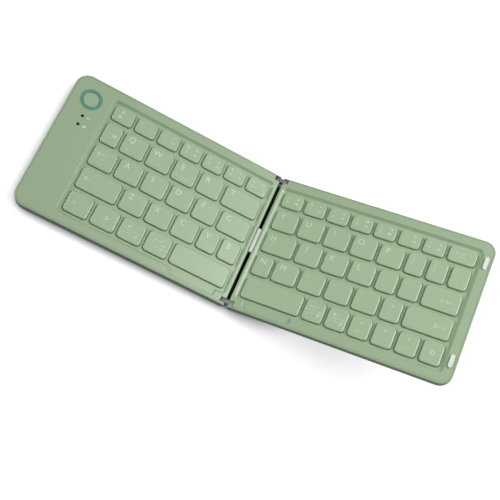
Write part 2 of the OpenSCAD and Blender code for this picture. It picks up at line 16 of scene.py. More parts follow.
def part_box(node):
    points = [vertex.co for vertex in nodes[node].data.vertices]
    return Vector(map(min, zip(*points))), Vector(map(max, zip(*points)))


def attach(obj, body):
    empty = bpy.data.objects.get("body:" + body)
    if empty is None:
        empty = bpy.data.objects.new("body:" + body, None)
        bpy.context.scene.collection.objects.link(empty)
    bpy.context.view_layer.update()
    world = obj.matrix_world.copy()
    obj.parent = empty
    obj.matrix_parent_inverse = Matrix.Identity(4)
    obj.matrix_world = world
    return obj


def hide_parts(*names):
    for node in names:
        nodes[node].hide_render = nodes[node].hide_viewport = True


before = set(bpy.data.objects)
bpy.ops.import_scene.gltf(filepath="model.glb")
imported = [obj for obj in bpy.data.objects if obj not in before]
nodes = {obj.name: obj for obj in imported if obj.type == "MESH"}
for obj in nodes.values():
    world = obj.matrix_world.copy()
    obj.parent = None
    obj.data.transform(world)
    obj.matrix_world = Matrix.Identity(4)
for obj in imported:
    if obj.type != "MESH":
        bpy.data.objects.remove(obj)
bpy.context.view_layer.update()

# %% [markdown]
# ## Where the halves stand
# Modelling a tilted keycap is awkward, so every piece is made flat, in the plan of its own half, and only
# then put in place. In that plan X runs to the right from the middle of the seam, Y from the front edge
# to the rear and Z up from the underside. Three matrices carry a piece from its plan to the desk: one for
# each half and one for the links between them. They need a half's size, the height of its feet, the place
# of its hinge pin and the angle of the fold. The left case's own box tells where the seam lies.

# %% The three places
HALF_W = 0.1501
HALF_D = 0.1
HALF_T = 0.0076
FOOT_H = 0.001
PIN_X = 0.0033
PIN_Z = 0.005
FOLD = math.radians(24.2)

seam_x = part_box("left_bottom_case")[0][0] + HALF_W
raise_half = Matrix.Rotation(-FOLD / 2, 4, "Y")
LEFT = Matrix.Translation((seam_x, -HALF_D / 2, FOOT_H))
LINKS = (Matrix.Translation((seam_x - PIN_X, -HALF_D / 2, FOOT_H + PIN_Z)) @ raise_half
         @ Matrix.Translation((PIN_X, 0, 0)))
RIGHT = LINKS @ Matrix.Translation((PIN_X, 0, 0)) @ raise_half @ Matrix.Translation((-PIN_X, 0, -PIN_Z))
print("seam at x =", round(seam_x, 5))

# %% [markdown]
# ## A handful of hand tools
# Each operator works on whatever is selected, so the first habit to learn is to select one thing and
# nothing else. In edit mode, the faces or edges to work on are then picked by their place, which keeps
# working when a size changes.


# %% Selecting
def only(*objects):
    bpy.ops.object.select_all(action="DESELECT")
    for one in objects:
        one.select_set(True)
    bpy.context.view_layer.objects.active = objects[0]


def open_mesh(piece):
    only(piece)
    bpy.ops.object.mode_set(mode="EDIT")
    bpy.ops.mesh.select_all(action="DESELECT")


def close_mesh():
    bpy.ops.object.mode_set(mode="OBJECT")


def pick(kind, test):
    bpy.ops.mesh.select_mode(type=kind)
    bpy.ops.mesh.select_all(action="DESELECT")
    mesh = bmesh.from_edit_mesh(bpy.context.edit_object.data)
    for item in {"EDGE": mesh.edges, "FACE": mesh.faces}[kind]:
        if test(item):
            item.select_set(True)
    bmesh.update_edit_mesh(bpy.context.edit_object.data)


# %% [markdown]
# ## Smooth where it is round
# A bevel is only a few narrow faces. It looks round once the shading runs smoothly over them, while the
# large flat faces beside it keep their own direction. The weighted normals see to the second part.


# %% Smoothing
def smooth(piece, degrees=30):
    only(piece)
    bpy.ops.object.shade_smooth_by_angle(angle=math.radians(degrees))
    weighted = piece.modifiers.new("flat faces lead", "WEIGHTED_NORMAL")
    weighted.keep_sharp = True
    weighted.weight = 100
    bpy.ops.object.modifier_apply(modifier=weighted.name)


# %% [markdown]
# ## Seating a piece
# A finished piece keeps its place in its mesh, and its object stays at the origin, unturned. So the
# place's matrix is applied to the mesh, then the piece is told which body it rides on and gets its
# finish.


# %% Seating
def seat(piece, place, body, finish):
    piece.matrix_world = place @ piece.matrix_world
    only(piece)
    bpy.ops.object.transform_apply(location=True, rotation=True, scale=True)
    piece.data.materials.clear()
    piece.data.materials.append(finish)
    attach(piece, body)
    return piece


# %% [markdown]
# ## Nodes
# A finish is a small net of nodes. Two helpers keep each net short to write: one adds a node with its
# values, and the other links outputs to inputs.


# %% Adding and linking nodes
def add_node(tree, kind, operation=None, given=()):
    node = tree.nodes.new("ShaderNode" + kind)
    if operation:
        node.operation = operation
    for socket, value in dict(given).items():
        node.inputs[socket].default_value = value
    return node


def link_up(tree, *pairs):
    for source, target in pairs:
        tree.links.new(source, target)


# %% [markdown]
# ## The camera
# The keyboard is seen from the front left and well above. The place, the turn and the lens were worked
# out from about ninety spots that can be told apart both in the photograph and in the render. The small
# shift stands for the picture having been cropped a little off its middle.

# %% Camera
CAMERA_PLACE = (-0.05467, -0.17308, 0.47114)
CAMERA_TURN = (0.182711, -0.264295, 0.414995)
LENS = 53.36
SENSOR = 36
CROP = (-0.0109, 0.1144)
NEAREST = 0.01

bpy.ops.object.camera_add(location=CAMERA_PLACE, rotation=CAMERA_TURN)
camera = bpy.context.object
camera.name = "keyboard_camera"
camera.data.lens = LENS
camera.data.sensor_width = SENSOR
camera.data.shift_x, camera.data.shift_y = CROP
camera.data.clip_start = NEAREST
bpy.context.scene.camera = camera
print("lens:", LENS, "mm")

# %% [markdown]
# ## The desk
# A pale floor shows moulded plastic best. A plain white one would turn grey under soft light, so this one
# adds a light of its own, which only the camera sees. Close to the keyboard, where little of the sky is
# open, both its grey and its own light fade: that is painted shade, a contact shadow darkened into the
# floor's colour and glow, which also makes the floor seen through the seam dark. The lamps' real shadow
# falls on it as well. Farther off its own light rises to full white, so that a low view shows no grey
# horizon.

# %% Floor
FLOOR_SIZE = 6
FLOOR_DROP = 0.0001
FLOOR_GREY = 0.42
FLOOR_GLOW = 0.74
GLOW_RISES = 0.3
SHADOW_REACH = 0.025
SHADOW_RANGE = {"From Min": 0.3, "From Max": 0.75}

bpy.ops.mesh.primitive_plane_add(size=FLOOR_SIZE, location=(0, 0, -FLOOR_DROP))
desk = bpy.context.object
desk.name = "desk"
paper = bpy.data.materials.new("desk_paper")
paper.use_nodes = True
tree = paper.node_tree
tree.nodes.clear()
# Painted shade: the occlusion below darkens the floor's grey and its glow close to the keyboard, as a
# painted contact shadow.
open_sky = add_node(tree, "AmbientOcclusion", given={"Distance": SHADOW_REACH})
painted_shade = add_node(tree, "MapRange", given=SHADOW_RANGE)
shaded_grey = add_node(tree, "VectorMath", "SCALE", {0: (FLOOR_GREY,) * 3})
where = add_node(tree, "TexCoord")
away = add_node(tree, "VectorMath", "LENGTH")
outer = add_node(tree, "MapRange", given={"From Min": GLOW_RISES, "To Min": FLOOR_GLOW, "To Max": 1})
shaded_glow = add_node(tree, "Math", "MULTIPLY")
seen = add_node(tree, "LightPath")
to_camera = add_node(tree, "Math", "MULTIPLY")
shade = add_node(tree, "BsdfDiffuse")
glow = add_node(tree, "Emission")
both = add_node(tree, "AddShader")
end = add_node(tree, "OutputMaterial")
link_up(tree,
        (open_sky.outputs["AO"], painted_shade.inputs["Value"]),
        (painted_shade.outputs["Result"], shaded_grey.inputs["Scale"]),
        (shaded_grey.outputs["Vector"], shade.inputs["Color"]),
        (where.outputs["Object"], away.inputs[0]),
        (away.outputs["Value"], outer.inputs["Value"]),
        (painted_shade.outputs["Result"], shaded_glow.inputs[0]),
        (outer.outputs["Result"], shaded_glow.inputs[1]),
        (seen.outputs["Is Camera Ray"], to_camera.inputs[0]),
        (shaded_glow.outputs[0], to_camera.inputs[1]),
        (to_camera.outputs[0], glow.inputs["Strength"]),
        (shade.outputs[0], both.inputs[0]),
        (glow.outputs[0], both.inputs[1]),
        (both.outputs[0], end.inputs["Surface"]))
desk.data.materials.append(paper)
print("floor:", FLOOR_SIZE, "m wide")

# %% [markdown]
# ## The light
# Four soft square lamps light the plastic, and the world fills the rest. A studio could be set up by eye,
# but these lamps were found by a fit: the keyboard was rendered with one lamp at a time, and the sum of
# those pictures was fitted to the photograph. The main lamp came out high on the right, a low one on the
# left, and two weaker ones overhead and at the rear. Each lamp is listed with its bearing and its height
# in degrees, its distance and its size in metres, and its power in watts.

# %% World and lamps
FILL = 0.065
LAMP_AIM = Vector((0.02, 0, 0.03))
LAMPS = {"key_lamp": (18, 56, 0.85, 0.5, 6.1),
         "low_lamp": (180, 15, 1.2, 0.5, 7.2),
         "overhead_lamp": (0, 80, 1.2, 0.5, 2.8),
         "rear_lamp": (90, 30, 1.2, 0.5, 1.1)}

world = bpy.data.worlds.new("studio")
bpy.context.scene.world = world
world.use_nodes = True
tree = world.node_tree
backdrop = tree.nodes["Background"]
backdrop.inputs["Color"].default_value = (1, 1, 1, 1)
seen = add_node(tree, "LightPath")
level = add_node(tree, "MapRange", given={"To Min": FILL, "To Max": 1})
link_up(tree, (seen.outputs["Is Camera Ray"], level.inputs["Value"]),
        (level.outputs["Result"], backdrop.inputs["Strength"]))

for name, (bearing, height, distance, size, power) in LAMPS.items():
    bearing, height = math.radians(bearing), math.radians(height)
    level_part = math.cos(height)
    toward = Vector((math.cos(bearing) * level_part, math.sin(bearing) * level_part, math.sin(height)))
    bpy.ops.object.light_add(type="AREA", location=toward * distance + LAMP_AIM)
    lamp = bpy.context.object
    lamp.name = name
    lamp.data.size = size
    lamp.data.energy = power
    lamp.rotation_euler = (-toward).to_track_quat("-Z", "Y").to_euler()

bpy.context.scene.view_settings.view_transform = "Standard"
print("lamps:", ", ".join(LAMPS))


# %% [markdown]
# ## Colours as they look
# Colours are easiest to choose as they look on screen, from 0 to 255. The renderer wants them linear, so
# a small function converts them. That way each finish can be compared with a colour picked by eye.


# %% Colour
def seen_as(red, green, blue):
    def linear(value):
        value /= 255
        return value / 12.92 if value <= 0.04045 else ((value + 0.055) / 1.055) ** 2.4
    return (linear(red), linear(green), linear(blue), 1)


# %% [markdown]
# ## Groups
# An effect that several finishes share is built once, as a group with named inputs, and each material
# feeds in its own values. Both groups below take a colour and some numbers, and give a colour, a
# roughness and a normal. In both, one fine pattern changes the roughness and the normal together, so that
# the grain that bends the light is also the grain that scatters it.

# %% Parts that the groups share
RELIEF = 0.00002


def new_group(name, *numbers):
    group = bpy.data.node_groups.new(name, "ShaderNodeTree")
    group.interface.new_socket("Colour", in_out="INPUT", socket_type="NodeSocketColor")
    for label in numbers:
        group.interface.new_socket(label, in_out="INPUT", socket_type="NodeSocketFloat")
    for label, kind in (("Colour", "Color"), ("Roughness", "Float"), ("Normal", "Vector")):
        group.interface.new_socket(label, in_out="OUTPUT", socket_type="NodeSocket" + kind)
    return group, group.nodes.new("NodeGroupInput"), group.nodes.new("NodeGroupOutput")


def roughen(group, takes, gives, pattern, depth, spread_by):
    dull = add_node(group, "Math", "MULTIPLY_ADD", {1: spread_by})
    relief = add_node(group, "Bump", given={"Distance": RELIEF})
    link_up(group,
            (pattern, dull.inputs[0]),
            (takes.outputs["Roughness"], dull.inputs[2]),
            (dull.outputs[0], gives.inputs["Roughness"]),
            (pattern, relief.inputs["Height"]),
            (takes.outputs[depth], relief.inputs["Strength"]),
            (relief.outputs["Normal"], gives.inputs["Normal"]))


# %% [markdown]
# ## Moulded plastic
# Shells and keys of this kind come out of steel moulds, often with spark eroded walls, which leave a fine,
# even grain and a dull sheen. Large mouldings also vary very slightly in tone. So one noise with clouds
# of a few centimetres drifts the colour, and a very fine one makes the grain.

# %% Group: moulded skin
CLOUDS = {"Scale": 22, "Detail": 3}
GRAIN = {"Detail": 2}
GRAIN_SPREAD = 0.12

skin, takes, gives = new_group("Moulded skin", "Tone drift", "Grain scale", "Grain depth", "Roughness")
where = add_node(skin, "TexCoord")
clouds = add_node(skin, "TexNoise", given=CLOUDS)
grain = add_node(skin, "TexNoise", given=GRAIN)
centred = add_node(skin, "Math", "SUBTRACT", {1: 0.5})
drift = add_node(skin, "Math", "MULTIPLY_ADD", {2: 1})
toned = add_node(skin, "VectorMath", "SCALE")
link_up(skin,
        (where.outputs["Object"], clouds.inputs["Vector"]),
        (clouds.outputs["Fac"], centred.inputs[0]),
        (centred.outputs[0], drift.inputs[0]),
        (takes.outputs["Tone drift"], drift.inputs[1]),
        (takes.outputs["Colour"], toned.inputs[0]),
        (drift.outputs[0], toned.inputs["Scale"]),
        (toned.outputs["Vector"], gives.inputs["Colour"]),
        (where.outputs["Object"], grain.inputs["Vector"]),
        (takes.outputs["Grain scale"], grain.inputs["Scale"]))
roughen(skin, takes, gives, grain.outputs["Fac"], "Grain depth", GRAIN_SPREAD)
print(skin.name, "has", len(skin.nodes), "nodes")

# %% [markdown]
# ## Brushed metal
# The links look like nickel-plated steel, brushed along their length. Brushing is noise that is stretched
# in one direction: fine across the strokes and long along them. The streaks also change the tone a little.

# %% Group: brushed strokes
STRETCH = (0.06, 1, 1)
STREAKS = {"Detail": 3}
STREAK_TONES = {"To Min": 0.85, "To Max": 1.1}
STREAK_SPREAD = 0.2

strokes, takes, gives = new_group("Brushed strokes", "Stroke scale", "Stroke depth", "Roughness")
where = add_node(strokes, "TexCoord")
stretch = add_node(strokes, "Mapping", given={"Scale": STRETCH})
streaks = add_node(strokes, "TexNoise", given=STREAKS)
tint = add_node(strokes, "MapRange", given=STREAK_TONES)
toned = add_node(strokes, "VectorMath", "SCALE")
link_up(strokes,
        (where.outputs["Object"], stretch.inputs["Vector"]),
        (stretch.outputs["Vector"], streaks.inputs["Vector"]),
        (takes.outputs["Stroke scale"], streaks.inputs["Scale"]),
        (streaks.outputs["Fac"], tint.inputs["Value"]),
        (takes.outputs["Colour"], toned.inputs[0]),
        (tint.outputs["Result"], toned.inputs["Scale"]),
        (toned.outputs["Vector"], gives.inputs["Colour"]))
roughen(strokes, takes, gives, streaks.outputs["Fac"], "Stroke depth", STREAK_SPREAD)
print(strokes.name, "has", len(strokes.nodes), "nodes")

# %% [markdown]
# ## Materials from the groups
# The shader itself stays in the material, and the group in front of it gives it a colour, a roughness and
# a normal. Plastic and metal differ in their group and in the shader's own settings.


# %% Two kinds of material
def finish_from(group, name, values, **shader):
    finish = bpy.data.materials.new(name)
    finish.use_nodes = True
    tree = finish.node_tree
    surface = tree.nodes["Principled BSDF"]
    for label, value in shader.items():
        surface.inputs[label.replace("_", " ")].default_value = value
    pattern = tree.nodes.new("ShaderNodeGroup")
    pattern.node_tree = group
    for label, value in values.items():
        pattern.inputs[label].default_value = value
    link_up(tree,
            (pattern.outputs["Colour"], surface.inputs["Base Color"]),
            (pattern.outputs["Roughness"], surface.inputs["Roughness"]),
            (pattern.outputs["Normal"], surface.inputs["Normal"]))
    return finish


def moulded(name, colour, drift=0.1, grain_scale=3500, depth=0.3, roughness=0.5, **shader):
    values = {"Colour": colour, "Tone drift": drift, "Grain scale": grain_scale, "Grain depth": depth,
              "Roughness": roughness}
    return finish_from(skin, name, values, **shader)


def brushed(name, colour, stroke_scale=4000, depth=0.3, roughness=0.25):
    values = {"Colour": colour, "Stroke scale": stroke_scale, "Stroke depth": depth, "Roughness": roughness}
    return finish_from(strokes, name, values, Metallic=1)


# %% [markdown]
# ## The finishes
# The shell is a grey sage green, and the keys are the same green a touch lighter and smoother. The marks
# are printed in a pale ink that barely stands off the green. The ring round the power button is made as a
# glossy teal plastic under a thin clear coat, and the pads and feet as white silicone. The colours were
# tuned by comparing the render with the photograph, spot by spot.

# %% Plastics and rubbers
case_green = moulded("case_green", seen_as(148, 170, 138), roughness=0.38, Specular_IOR_Level=0.8)
cover_green = moulded("cover_green", seen_as(156, 179, 146), roughness=0.3, Specular_IOR_Level=0.85)
key_green = moulded("key_green", seen_as(163, 187, 154), drift=0.06, depth=0.2, roughness=0.27,
                    Specular_IOR_Level=0.9)
button_green = moulded("button_green", seen_as(155, 178, 148), drift=0.04, depth=0.2, roughness=0.42)
ring_teal = moulded("ring_teal", seen_as(94, 154, 138), drift=0.2, grain_scale=900, depth=0.1,
                    roughness=0.22, Coat_Weight=0.4)
pad_white = moulded("pad_white", seen_as(214, 222, 216), drift=0.05, depth=0.4, roughness=0.6)
sleeve_silver = moulded("sleeve_silver", seen_as(205, 211, 208), drift=0.05, grain_scale=1500,
                        roughness=0.35)
legend_ink = moulded("legend_ink", seen_as(220, 233, 215), drift=0.25, grain_scale=6000, depth=0.1,
                     roughness=0.6)
smoke = moulded("smoked_lens", seen_as(22, 34, 27), drift=0.1, grain_scale=500, depth=0.05, roughness=0.12)
# Painted shade: the dome sheet is coloured near black so that the slits round the keycaps, where it shows,
# read as shade.
dome_film = moulded("dome_film", seen_as(52, 62, 48), drift=0.05, roughness=0.6)
foil = moulded("battery_foil", seen_as(196, 198, 203), drift=0.15, grain_scale=300, depth=0.6,
               roughness=0.35)
print("moulded finishes:", skin.users)

# %% Metals
link_metal = brushed("link_metal", seen_as(172, 174, 174), roughness=0.36)
pin_steel = brushed("pin_steel", seen_as(176, 176, 178), roughness=0.2)
screw_steel = brushed("screw_steel", seen_as(170, 170, 172))
socket_steel = brushed("socket_steel", seen_as(196, 196, 198), roughness=0.3)
print("brushed finishes:", strokes.users)

# %% [markdown]
# ## The circuit boards
# The boards lie inside the closed halves. They are green laminate, with paler copper tracks under the
# lacquer. A brick pattern gives the tracks their right angles at hardly any cost.

# %% Laminate
TRACKS = {"Scale": 160, "Mortar Size": 0.04, "Color1": seen_as(30, 88, 50), "Color2": seen_as(34, 96, 54),
          "Mortar": seen_as(88, 142, 92)}

board_green = moulded("board_green", seen_as(40, 104, 62), drift=0.2, depth=0.1, roughness=0.35)
tree = board_green.node_tree
where = add_node(tree, "TexCoord")
tracks = add_node(tree, "TexBrick", given=TRACKS)
link_up(tree, (where.outputs["Object"], tracks.inputs["Vector"]),
        (tracks.outputs["Color"], tree.nodes["Group"].inputs["Colour"]))
print(board_green.name, "has", len(tree.nodes), "nodes")

# %% [markdown]
# ## Pieces that keep their CAD shape
# The inner pieces are already right as they come, so they only get their finish. The dome sheets' finish is
# painted shade: it is dark so that the slits round the keys read dark.

# %% Inner pieces
INNER = {"left_key_board": board_green, "right_key_board": board_green, "main_board": board_green,
         "left_dome_sheet": dome_film, "right_dome_sheet": dome_film, "battery": foil,
         "left_screws": screw_steel, "right_screws": screw_steel, "charging_socket": socket_steel}

for name, finish in INNER.items():
    nodes[name].data.materials.clear()
    nodes[name].data.materials.append(finish)
print("inner pieces:", len(INNER))

# %% [markdown]
# ## Soft edges on the mouldings
# No moulded edge is perfectly sharp: each one has a radius of a tenth of a millimetre or more, and that is
# what catches the light. The CAD shapes have sharp edges there. A copy of each one is merged, its flat
# faces are joined, and a bevel that looks only at sharp edges rounds them. The edges of the key well can
# get a wider radius than the rest. They are found by their distance from the seam, which counts the same
# on both halves, so X is read without its sign.

# %% Rounding a CAD piece
SHARP = math.radians(35)
FLAT = math.radians(0.5)
SAME_SPOT = 1e-6
RIM_ROUND = 0.00035
ANYWHERE = ((0, 0, 0), (1, 1, 1))


def within(edge, box):
    return all(low <= abs(value) <= high for v in edge.verts for value, low, high in zip(v.co, *box))


def softened(node, width, finish, body, place=LEFT, above=-1, segments=2, well=None):
    piece = bpy.data.objects.new(node + "_moulding", nodes[node].data.copy())
    bpy.context.scene.collection.objects.link(piece)
    piece.data.transform(place.inverted() @ nodes[node].matrix_world)
    open_mesh(piece)
    bpy.ops.mesh.customdata_custom_splitnormals_clear()
    bpy.ops.mesh.select_all(action="SELECT")
    bpy.ops.mesh.remove_doubles(threshold=SAME_SPOT)
    bpy.ops.mesh.dissolve_limited(angle_limit=FLAT)
    before = len(piece.data.polygons)
    for offset, box in ((RIM_ROUND, well), (width, ANYWHERE)):
        if box:
            pick("EDGE", lambda e: e.is_manifold and e.calc_face_angle() > SHARP
                 and all(v.co.z > above for v in e.verts) and within(e, box))
            bpy.ops.mesh.bevel(offset=offset, segments=segments, affect="EDGES", clamp_overlap=True)
    close_mesh()
    smooth(piece)
    seat(piece, place, body, finish)
    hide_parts(node)
    print(piece.name, before, "->", len(piece.data.polygons), "faces")
    return piece


# %% [markdown]
# ## The shells
# Each half is a case with a cover in it. Only their upper edges show, so only those are rounded. The feet
# are rounded all over. A well is given by two corners, by their distance from the seam, the front edge and
# the underside, and it reaches through the whole height.

# %% Cases, covers and feet
WELL_NEAR = 0.0033
WELL_FAR = {"left": 0.1236, "right": 0.1435}
WELL_FRONT = 0.006
WELL_REAR = 0.094
CASE_TOP = HALF_T - 0.0005
COVER_TOP = HALF_T - 0.0002

for side, place in (("left", LEFT), ("right", RIGHT)):
    body = side + "_half"
    softened(side + "_bottom_case", 0.00015, case_green, body, place, CASE_TOP)
    softened(side + "_top_cover", 0.0002, cover_green, body, place, COVER_TOP,
             well=((WELL_NEAR, WELL_FRONT, 0), (WELL_FAR[side], WELL_REAR, 1)))
    softened(side + "_feet", 0.0003, pad_white, body, place)

# %% [markdown]
# ## Ring, lights, links and pads
# The same rounding suits the small pieces. The links get a wider radius, as stamped and tumbled parts have,
# and that bright rounded end is the first thing one sees of the hinge.

# %% Small pieces
softened("button_ring", 0.00025, ring_teal, "left_half", segments=3)
softened("power_button", 0.00025, button_green, "power_button", segments=3)
softened("status_lights", 0.0002, smoke, "left_half")
softened("rim_pads", 0.0005, pad_white, "right_half", RIGHT, segments=3)
softened("hinge_links", 0.0004, link_metal, "hinge_links", LINKS, segments=3)
softened("hinge_pins", 0.0001, pin_steel, "hinge_links", LINKS)
softened("ribbon_sleeve", 0.0003, sleeve_silver, "hinge_links", LINKS, segments=3)

# %% [markdown]
# ## Keycaps
# A flat keycap is a low block with round corners in plan, a soft edge round its top and an almost flat
# top. It could be cut from the CAD solid, but it is quicker to see how it is made by hand: a cube is given
# the key's size, its four upright edges are bevelled for the corners, and the top loop is bevelled for the
# soft edge. Two insets then sink the middle by a hair, so that the top isn't a dead flat mirror. Last, the
# underside is hollowed, as a moulded cap is, so that a pressed key goes down over its rubber dome.

# %% Key sizes
KEY_TOP = HALF_T
KEY_LOW = 0.0041
KEY_R = 0.0024
KEY_EDGE = 0.0009
KEY_DISH = 0.00006
DISH_STEP = 0.0006
KEY_WALL = 0.0009
KEY_HOLLOW = 0.0024
CORNER_CUTS = 7
EDGE_CUTS = 5
FACING = 0.99


# %% Making a keycap
def keycap(width, depth):
    bpy.ops.mesh.primitive_cube_add(size=1, location=(0, 0, (KEY_LOW + KEY_TOP) / 2))
    key = bpy.context.object
    key.scale = (width, depth, KEY_TOP - KEY_LOW)
    bpy.ops.object.transform_apply(location=True, rotation=True, scale=True)
    open_mesh(key)
    pick("EDGE", lambda e: abs(e.verts[0].co.z - e.verts[1].co.z) > KEY_EDGE)
    bpy.ops.mesh.bevel(offset=KEY_R, segments=CORNER_CUTS, affect="EDGES", clamp_overlap=True)
    pick("EDGE", lambda e: all(v.co.z > KEY_TOP - SAME_SPOT for v in e.verts))
    bpy.ops.mesh.bevel(offset=KEY_EDGE, segments=EDGE_CUTS, affect="EDGES")
    pick("FACE", lambda f: f.normal.z > FACING and f.calc_center_median().z > KEY_TOP - 10 * SAME_SPOT)
    bpy.ops.mesh.inset(thickness=DISH_STEP, depth=-KEY_DISH / 2)
    bpy.ops.mesh.inset(thickness=DISH_STEP, depth=-KEY_DISH / 2)
    pick("FACE", lambda f: f.normal.z < -FACING)
    bpy.ops.mesh.inset(thickness=KEY_WALL)
    bpy.ops.mesh.extrude_region_move(TRANSFORM_OT_translate={"value": (0, 0, KEY_HOLLOW)})
    close_mesh()
    smooth(key, 40)
    return key


# %% [markdown]
# ## The rows
# A keyboard's layout is a table: each row lists its keys from left to right, with their body, their width
# and what is printed on them. Widths are counted in letter keys, as keyboard makers do, and a width of
# nothing means that the key takes what is left of the row. Letters, digits and punctuation are printed as
# they are, and a key that carries a word on a real keyboard has a plain sign, by its name.

# %% Widths in letter keys
LETTER = 1
NUMBER = 0.892
TAB = 0.754
SHIFT = 1.608
KEY_V = 0.835
KEY_H = 1.273
KEY_N = 0.765
SYMBOL = 0.824
BRACKET = 0.778
CORNER = 0.838
REST = None


# %% Layout
def row_of(body, share, *marks):
    return [(body, share, mark) for mark in marks]


def letters(word, share=LETTER):
    return [("key_" + letter.lower(), share, letter) for letter in word]


LEFT_ROWS = [
    row_of("left_number_keys", NUMBER, "sign:escape", "` ~", "1 ! ring", "2 @ cell", "3 # up", "4 $ down")
    + row_of("left_number_keys", REST, "5 % diamond"),
    row_of("left_modifier_keys", TAB, "sign:tab") + letters("QWER") + letters("T", REST),
    row_of("left_modifier_keys", LETTER, "sign:lock") + letters("ASDF") + letters("G", REST),
    row_of("left_shift_key", SHIFT, "sign:shift") + letters("ZXC") + letters("V", KEY_V)
    + letters("B", REST),
    row_of("left_modifier_keys", LETTER, "sign:control", "sign:ring", "sign:pair", "sign:pair")
    + row_of("left_space_key", REST, "")]
RIGHT_ROWS = [
    row_of("right_number_keys", NUMBER, "6 ^ left", "7 & right", "8 * control", "9 ( ring", "0 ) cell",
           "- _ down", "= + up")
    + row_of("backspace_key", REST, "sign:back"),
    letters("YUIOP") + row_of("right_symbol_keys", BRACKET, "[ {", "] }")
    + row_of("right_symbol_keys", REST, "\\ |"),
    letters("H", KEY_H) + letters("JKL") + row_of("right_symbol_keys", SYMBOL, "; :", "' \"")
    + row_of("return_key", REST, "sign:enter"),
    letters("N", KEY_N) + letters("M") + row_of("right_symbol_keys", LETTER, ", <", ". >", "/ ?")
    + row_of("arrow_keys", SYMBOL, "sign:up") + row_of("right_shift_key", REST, "sign:far_shift"),
    row_of("right_space_key", REST, "") + row_of("right_corner_keys", CORNER, "sign:pair", "sign:pair")
    + row_of("arrow_keys", CORNER, "sign:left", "sign:down", "sign:right")
    + row_of("right_corner_keys", CORNER, "sign:ring")]
print("keys:", sum(map(len, LEFT_ROWS)), "left and", sum(map(len, RIGHT_ROWS)), "right")

# %% [markdown]
# ## From the table to the key field
# Both key fields start at the same distance from the seam, and the keys of the rear row are less deep than
# the others. A letter key's width follows from the field's width and from how many letter keys a row holds.

# %% Places of the keys
GAP = 0.00235
KEY_D = 0.0148
REAR_D = 0.011
PITCH = 0.01745
FIELD_X = 0.00665
FIELD_FRONT = 0.0096
FIELD_W = {"left": 0.1135, "right": 0.1334}
ROW_LETTERS = {"left": 6.262, "right": 7.338}


def spread(rows, side):
    start = FIELD_X if side == "right" else -FIELD_X - FIELD_W["left"]
    letter = (FIELD_W[side] + GAP) / ROW_LETTERS[side]
    for number, row in enumerate(rows):
        depth = REAR_D if number == 0 else KEY_D
        middle_y = FIELD_FRONT + (len(rows) - 1 - number) * PITCH + depth / 2
        rest = ROW_LETTERS[side] - sum(share for _, share, _ in row if share)
        before = 0
        for body, share, mark in row:
            width = round(letter * (share or rest) - GAP, 5)
            yield body, mark, (width, depth), Vector((start + letter * before + width / 2, middle_y, 0))
            before += share or rest


# %% [markdown]
# ## Signs and letters
# A printed mark is a very thin layer of ink. Letters start as text that is turned into a mesh, and the
# signs are drawn as short strokes: a curve with a little thickness, flattened and turned into a mesh. A
# zigzag stands for a small word, and a long line parts two words. The strokes are listed in millimetres.

# %% Drawing a sign
MM = 0.001
STROKE = 0.0005
PRESSED_FLAT = 0.2


def circle_points(radius, count=20):
    return [(radius * math.cos(2 * math.pi * i / count), radius * math.sin(2 * math.pi * i / count))
            for i in range(count + 1)]


UP_ARROW = [(0, 1.5), (1.5, 0), (0.7, 0), (0.7, -1.3), (-0.7, -1.3), (-0.7, 0), (-1.5, 0), (0, 1.5)]
SIGNS = {
    "shift": [UP_ARROW],
    "lock": [UP_ARROW, [(-0.7, -2), (0.7, -2)]],
    "tab": [[(-1.7, 0), (1.1, 0)], [(0.3, 0.8), (1.1, 0), (0.3, -0.8)], [(1.6, 0.9), (1.6, -0.9)]],
    "control": [[(-1.1, -0.5), (0, 0.8), (1.1, -0.5)]],
    "ring": [circle_points(1.1)],
    "diamond": [[(0, 1.3), (1.3, 0), (0, -1.3), (-1.3, 0), (0, 1.3)]],
    "enter": [[(1.9, 1), (1.9, -0.3), (-1.6, -0.3)], [(-0.7, 0.5), (-1.6, -0.3), (-0.7, -1.1)]],
    "back": [[(2.4, 0), (-2.2, 0)], [(-1.3, 0.9), (-2.2, 0), (-1.3, -0.9)]],
    "escape": [circle_points(1), [(-0.7, 0.7), (0.7, -0.7)]],
    "up": [[(-0.8, -0.5), (0, 0.7), (0.8, -0.5), (-0.8, -0.5)]],
    "down": [[(-0.8, 0.5), (0, -0.7), (0.8, 0.5), (-0.8, 0.5)]],
    "left": [[(0.5, 0.8), (-0.7, 0), (0.5, -0.8), (0.5, 0.8)]],
    "right": [[(-0.5, 0.8), (0.7, 0), (-0.5, -0.8), (-0.5, 0.8)]],
    "cell": [[(-1.2, 0.6), (0.9, 0.6), (0.9, -0.6), (-1.2, -0.6), (-1.2, 0.6)], [(1.3, 0.3), (1.3, -0.3)]],
    "link": [circle_points(0.5), circle_points(1)],
    "wave": [[(-2.5 + 0.45 * i, 0.5 if i % 2 else -0.5) for i in range(12)]],
    "rule": [[(-5.5, 0), (5.5, 0)]]}


def sign(name, size=1.0):
    shape = bpy.data.curves.new(name, "CURVE")
    shape.dimensions = "3D"
    shape.bevel_depth = STROKE / 2
    shape.bevel_resolution = 0
    for points in SIGNS[name]:
        line = shape.splines.new("POLY")
        line.points.add(len(points) - 1)
        for point, (x, y) in zip(line.points, points):
            point.co = (x * size * MM, y * size * MM, 0, 1)
    mark = bpy.data.objects.new(name, shape)
    bpy.context.scene.collection.objects.link(mark)
    only(mark)
    bpy.ops.object.convert(target="MESH")
    mark = bpy.context.object
    mark.scale = (1, 1, PRESSED_FLAT)
    bpy.ops.object.transform_apply(location=True, rotation=True, scale=True)
    return mark


# %% [markdown]
# ## Printing letters
# The font's capitals are about seven tenths of its size high. The letters on the keys are lighter than the
# font's own, so their outline is drawn in by a small part of their height. Each letter is centred, because
# its place on the key is given by its middle.

# %% Printing a letter
INK = 0.00002
CAPITALS = 0.7
THINNED = 0.018


